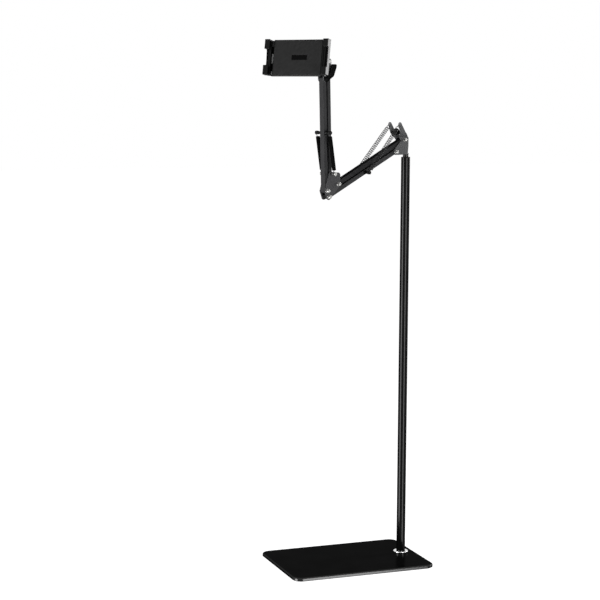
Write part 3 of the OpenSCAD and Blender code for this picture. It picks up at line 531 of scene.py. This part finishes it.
def add_lower_spring(label, side):
    """Hook at the ear, coil and hook on the peg; the real coil shortens as the arm lifts, and this one is drawn at
    one length.
    """
    ear, peg = at_side(EAR, side * EAR_SIDE), at_side(LOWER_PEG, side * GROOVE_SIDE)
    along = (peg - ear).normalized()
    centre = ear + EAR_LOOP * along
    out = square_to(Vector((0, side, 0)), along)
    peg_out = square_to(Y_WAY.cross(along), along)
    part = math.atan2(peg_out.dot(along.cross(out)), peg_out.dot(out)) / FULL_TURN
    first, last = HOOK_RUN, (peg - centre).length - HOOK_RUN
    coil = coil_points(centre, along, out, COIL_R, first, last, COILS + part)
    back = coil[::-1]
    ear_run = hook_points(centre, along, out, EAR_LOOP) + [coil[0] - LEAD * along, *coil[:LAP_POINTS]]
    peg_run = hook_points(peg, -along, peg_out, PEG_LOOP) + [back[0] + LEAD * along, *back[:LAP_POINTS]]
    node = "lower_spring_" + label
    for name, run, body in (("_ear_hook", ear_run, "lower_springs"), ("_peg_hook", peg_run, "lower_arm")):
        settle(bent_wire(node + name, run, WIRE_R), ARM, "spring_steel", body, node)
    body = settle(bent_wire(node + "_coil", coil, WIRE_R), ARM, "spring_steel", "lower_springs", node)
    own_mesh(body)


def add_upper_spring(label, side):
    """Two ends that part inside the sleeve, one on the long bolt and one on the peg."""
    bolt, peg = at_side(LONG_BOLT, side * GROOVE_SIDE), at_side(UPPER_PEG, side * GROOVE_SIDE)
    along = (peg - bolt).normalized()
    out = Y_WAY.cross(along)
    pitch = ((peg - bolt).length - 2 * HOOK_RUN) / INNER_COILS
    node = "upper_spring_" + label
    for name, body, start, run, radius, turns in (
            ("_bolt_end", "sleeves", bolt, along, BOLT_LOOP, BOLT_TURNS),
            ("_peg_end", "upper_springs", peg, -along, PEG_LOOP, PEG_TURNS)):
        coil = coil_points(start, run, out, INNER_COIL_R, HOOK_RUN, HOOK_RUN + pitch * turns, turns)
        path = hook_points(start, run, out, radius) + [coil[0] - LEAD * run, *coil]
        settle(bent_wire(node + name, path, WIRE_R), ARM, "spring_steel", body, node)


def add_sleeves():
    along = (UPPER_PEG - LONG_BOLT).normalized()
    upright = Matrix((Y_WAY.cross(along), Y_WAY, along)).transposed().to_4x4()
    low, high = SLEEVE_END, (UPPER_PEG - LONG_BOLT).length - SLEEVE_END
    inside, outside = SLEEVE_BORE + SLEEVE_LIP, SLEEVE_R - SLEEVE_LIP
    broken = SLEEVE_R - SLEEVE_BREAK
    outline = [(SLEEVE_BORE, low + SLEEVE_LIP), (inside, low),
               (outside, low), (broken, low + SLEEVE_BREAK), (SLEEVE_R, low + SLEEVE_LIP),
               (SLEEVE_R, high - SLEEVE_LIP), (broken, high - SLEEVE_BREAK), (outside, high),
               (inside, high), (SLEEVE_BORE, high - SLEEVE_LIP)]
    sleeves = []
    for side in (-1, 1):
        tube = turned("sleeve", outline, SLEEVE_STEPS)
        place_by(tube, Matrix.Translation(at_side(LONG_BOLT, side * GROOVE_SIDE)) @ upright)
        sleeves.append(tube)
    settle(merged("rubber_sleeves", sleeves), ARM, "black_rubber", "sleeves", "spring_sleeves")


# Bars

BARS = ("lower_bar", "top_bar", "front_bar", "rear_bar")
LONG_EDGE = 0.1
BAR_CORNER = 1.0
BAR_SEGMENTS = 4


def add_bar(node):
    """A rectangular tube whose long corners are rolled, with its ends and holes left sharp."""
    piece = solid_copy(node)
    round_edges(piece, BAR_CORNER * MM, BAR_SEGMENTS, lambda edge: edge.calc_length() > LONG_EDGE)
    settle_solid(piece, node)


# Lock ring and return spring, in millimetres of the holder

SOCKET_R = 12.95
LOCK_FIT = 0.1
LOCK_WALL = 3.0
LOCK_HALF = 5.0
LOCK_CHAMFER = 0.8
LOCK_STEPS = 112
RIBS = 28
RIB_OUT = 0.8
RIB_HALF = 0.8
RIB_END = 1.0
RIB_ROUND = 0.5
RIB_SEGMENTS = 2
RETURN_SPRING_R = 1.55
RETURN_SPRING_WIRE = 0.35
RETURN_SPRING_TURNS = 24
RAIL_ROOM = 7.0


def add_lock_ring():
    """A ring with grip ribs round it, which turns on the socket."""
    bore, outside = SOCKET_R + LOCK_FIT, SOCKET_R + LOCK_WALL
    rim = outside - RIB_OUT
    face, shoulder = rim - LOCK_CHAMFER, LOCK_HALF - LOCK_CHAMFER
    pieces = [turned("ring_body", [(bore, -LOCK_HALF), (face, -LOCK_HALF), (rim, -shoulder),
                                   (rim, shoulder), (face, LOCK_HALF), (bore, LOCK_HALF)], LOCK_STEPS)]
    reach = LOCK_HALF - RIB_END
    for k in range(RIBS):
        rib = block("rib", (face, -RIB_HALF, -reach), (outside, RIB_HALF, reach))
        round_edges(rib, RIB_ROUND, RIB_SEGMENTS,
                    lambda edge: min(v.co.x for v in edge.verts) > outside - RIB_ROUND)
        place_by(rib, Matrix.Rotation(FULL_TURN * k / RIBS, 4, "Z"))
        pieces.append(rib)
    ring = merged("ribbed_lock_ring", pieces)
    settle(ring, HOLDER @ Matrix.Rotation(QUARTER_TURN, 4, "Y"), "holder_plastic", "ring", "lock_ring")


def add_return_spring():
    """A coil along the shell's inside, which leaves room for the middle rail as the jaw goes in."""
    points = [HOLDER.inverted() @ v.co for v in frame["nodes"]["return_spring"].data.vertices]
    low = Vector([min(p[k] for p in points) for k in range(3)])
    high = Vector([max(p[k] for p in points) for k in range(3)])
    start = Vector(((low.x + high.x) / 2, low.y, (low.z + high.z) / 2))
    coil = coil_points(start, Y_WAY, X_WAY, RETURN_SPRING_R, RAIL_ROOM,
                       high.y - low.y - RETURN_SPRING_WIRE, RETURN_SPRING_TURNS)
    wire = bent_wire("return_coil", coil, RETURN_SPRING_WIRE)
    settle(wire, HOLDER, "spring_steel", "holder", "return_spring")


# Camera, light and floor

CAMERA_AT = Vector((-1.5374, -3.7685, 1.1747))
CAMERA_YAW = math.radians(20.498)
CAMERA_DOWN = math.radians(7.201)
CAMERA_ROLL = math.radians(0.283)
LENS = 100.0
SENSOR = 36.0
FAR_CLIP = 50
AMBIENT = 0.15
WHITE = 1.0
FLOOR_SIZE = 40
FLOOR_GREY = 0.35
FLOOR_GLOW = 0.97
# Tall boxes at the left and the front right make the pole's two stripes. They reach from below the floor,
# which mirror rays pass, so that the stripes run down to the foot, up to the lower arm, so that the tops
# of its bars stay dark. A small box lights the right. Each has its place, its aim, its size and its watts.
LAMPS = {
    "left_box": ((-2.3, -0.52, -0.2), (0.15, 0, -0.2), (1.2, 2.4), 175),
    "front_box": ((0.62, -2.45, -0.2), (0.15, 0, -0.2), (1.0, 2.4), 115),
    "side_box": ((2.7, 0.33, 1.3), (-0.15, -0.25, 1.25), (0.7, 0.9), 50),
}


def add_camera():
    camera = bpy.data.objects.new("camera", bpy.data.cameras.new("camera"))
    bpy.context.scene.collection.objects.link(camera)
    camera.data.lens = LENS
    camera.data.sensor_width = SENSOR
    camera.data.clip_end = FAR_CLIP
    turn = Matrix.Rotation(-CAMERA_YAW, 4, "Z") @ Matrix.Rotation(QUARTER_TURN - CAMERA_DOWN, 4, "X")
    camera.matrix_world = Matrix.Translation(CAMERA_AT) @ turn @ Matrix.Rotation(CAMERA_ROLL, 4, "Z")
    bpy.context.scene.camera = camera


def add_lamp(name, at, aim, size, power):
    lamp = bpy.data.objects.new(name, bpy.data.lights.new(name, "AREA"))
    bpy.context.scene.collection.objects.link(lamp)
    lamp.data.shape = "RECTANGLE"
    lamp.data.size, lamp.data.size_y = size
    lamp.data.energy = power
    lamp.location = at
    lamp.rotation_euler = (Vector(aim) - Vector(at)).to_track_quat("-Z", "Y").to_euler()


def larger(nodes, links, first, second):
    """The larger of two values."""
    pick = nodes.new("ShaderNodeMath")
    pick.operation = "MAXIMUM"
    links.new(first, pick.inputs[0])
    links.new(second, pick.inputs[1])
    return pick.outputs[0]


def see_white(nodes, links, lit, white, surface):
    """Camera, mirror and glass rays see plain white; the other rays see what is lit."""
    path = nodes.new("ShaderNodeLightPath").outputs
    through = larger(nodes, links, path["Is Glossy Ray"], path["Is Transmission Ray"])
    mix = nodes.new("ShaderNodeMixShader")
    links.new(larger(nodes, links, through, path["Is Camera Ray"]), mix.inputs[0])
    links.new(lit, mix.inputs[1])
    links.new(white, mix.inputs[2])
    links.new(mix.outputs[0], surface)


def white_sky(nodes, strength):
    sky = nodes.new("ShaderNodeBackground")
    sky.inputs["Color"].default_value = (1, 1, 1, 1)
    sky.inputs["Strength"].default_value = strength
    return sky.outputs[0]


def add_world():
    world = bpy.data.worlds.new("studio")
    world.use_nodes = True
    bpy.context.scene.world = world
    nodes, links = world.node_tree.nodes, world.node_tree.links
    nodes.clear()
    out = nodes.new("ShaderNodeOutputWorld")
    see_white(nodes, links, white_sky(nodes, AMBIENT), white_sky(nodes, WHITE), out.inputs["Surface"])


def add_floor():
    """A pale floor that keeps the shadow; mirror rays pass it."""
    bpy.ops.object.select_all(action="DESELECT")
    bpy.ops.mesh.primitive_plane_add(size=FLOOR_SIZE, location=(0, 0, 0))
    floor = bpy.context.object
    floor.name = "floor"
    material = bpy.data.materials.new("pale_floor")
    material.use_nodes = True
    nodes, links = material.node_tree.nodes, material.node_tree.links
    nodes.clear()
    matt = nodes.new("ShaderNodeBsdfDiffuse")
    matt.inputs["Color"].default_value = (*grey(FLOOR_GREY), 1)
    glow = nodes.new("ShaderNodeEmission")
    glow.inputs["Strength"].default_value = FLOOR_GLOW
    both = nodes.new("ShaderNodeAddShader")
    links.new(matt.outputs[0], both.inputs[0])
    links.new(glow.outputs[0], both.inputs[1])
    out = nodes.new("ShaderNodeOutputMaterial")
    see_white(nodes, links, matt.outputs[0], both.outputs[0], out.inputs["Surface"])
    floor.data.materials.append(material)
    floor.visible_glossy = False


for node, solid in frame["nodes"].items():
    solid.data.materials.clear()
    solid.data.materials.append(paint_of(SLOT_OF[node], node))
for width, segments, nodes in EASED:
    for node in nodes:
        add_eased(node, width, segments)
add_foot_ring()
add_tube("pole_lower", 0)
add_tube("pole_upper", TUBE_L)
for node in BARS:
    add_bar(node)
for label, side in (("near", 1), ("far", -1)):
    add_lower_spring(label, side)
    add_upper_spring(label, side)
add_sleeves()
add_lock_ring()
add_return_spring()
add_camera()
add_world()
add_floor()
for name, lamp in LAMPS.items():
    add_lamp(name, *lamp)
bpy.context.scene.view_settings.view_transform = "Standard"
